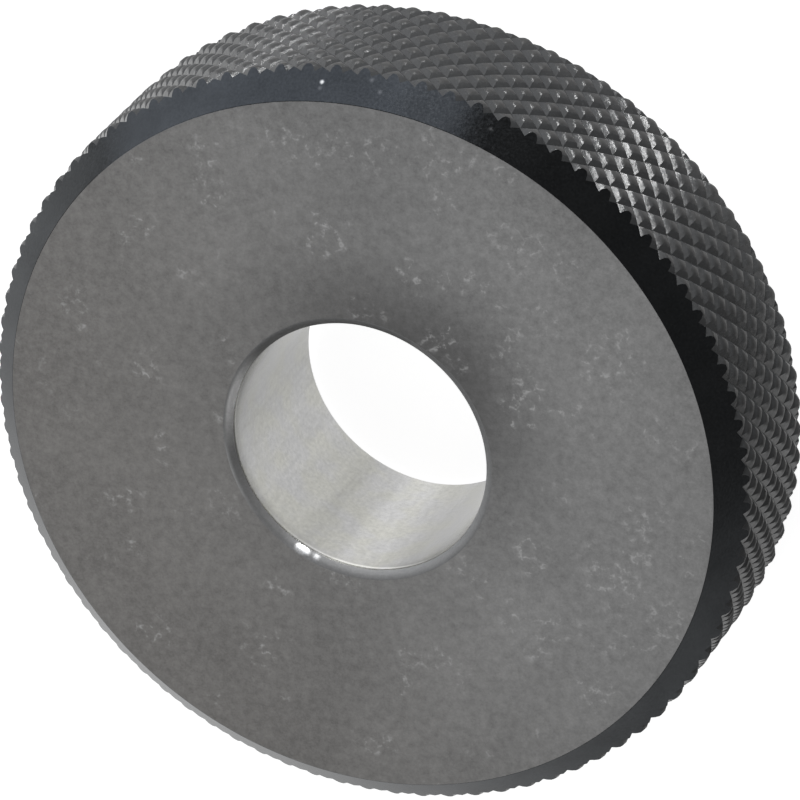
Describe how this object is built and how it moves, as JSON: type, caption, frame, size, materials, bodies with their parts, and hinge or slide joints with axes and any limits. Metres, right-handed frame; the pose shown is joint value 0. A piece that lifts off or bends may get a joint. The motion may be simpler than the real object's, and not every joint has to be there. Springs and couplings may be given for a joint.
{
  "type": "setting ring gauge",
  "caption": "Flat hardened steel ring with a lapped reference bore, ground faces, chamfered edges and a diamond-knurled rim, for setting internal measuring tools.",
  "frame": {"origin": "on the axis of the bore, in the plane of the back face that the ring lies on", "axes": "+Z along the axis of the bore, from the back face to the front face; +X and +Y are radial, and every radial direction is alike"},
  "size_m": [0.038, 0.038, 0.01],
  "materials": {
    "steel": "ground faces, lapped bore, blackened chamfers and knurl"
  },
  "bodies": {
    "root": {"setting_ring": "steel"}
  },
  "joints": []
}
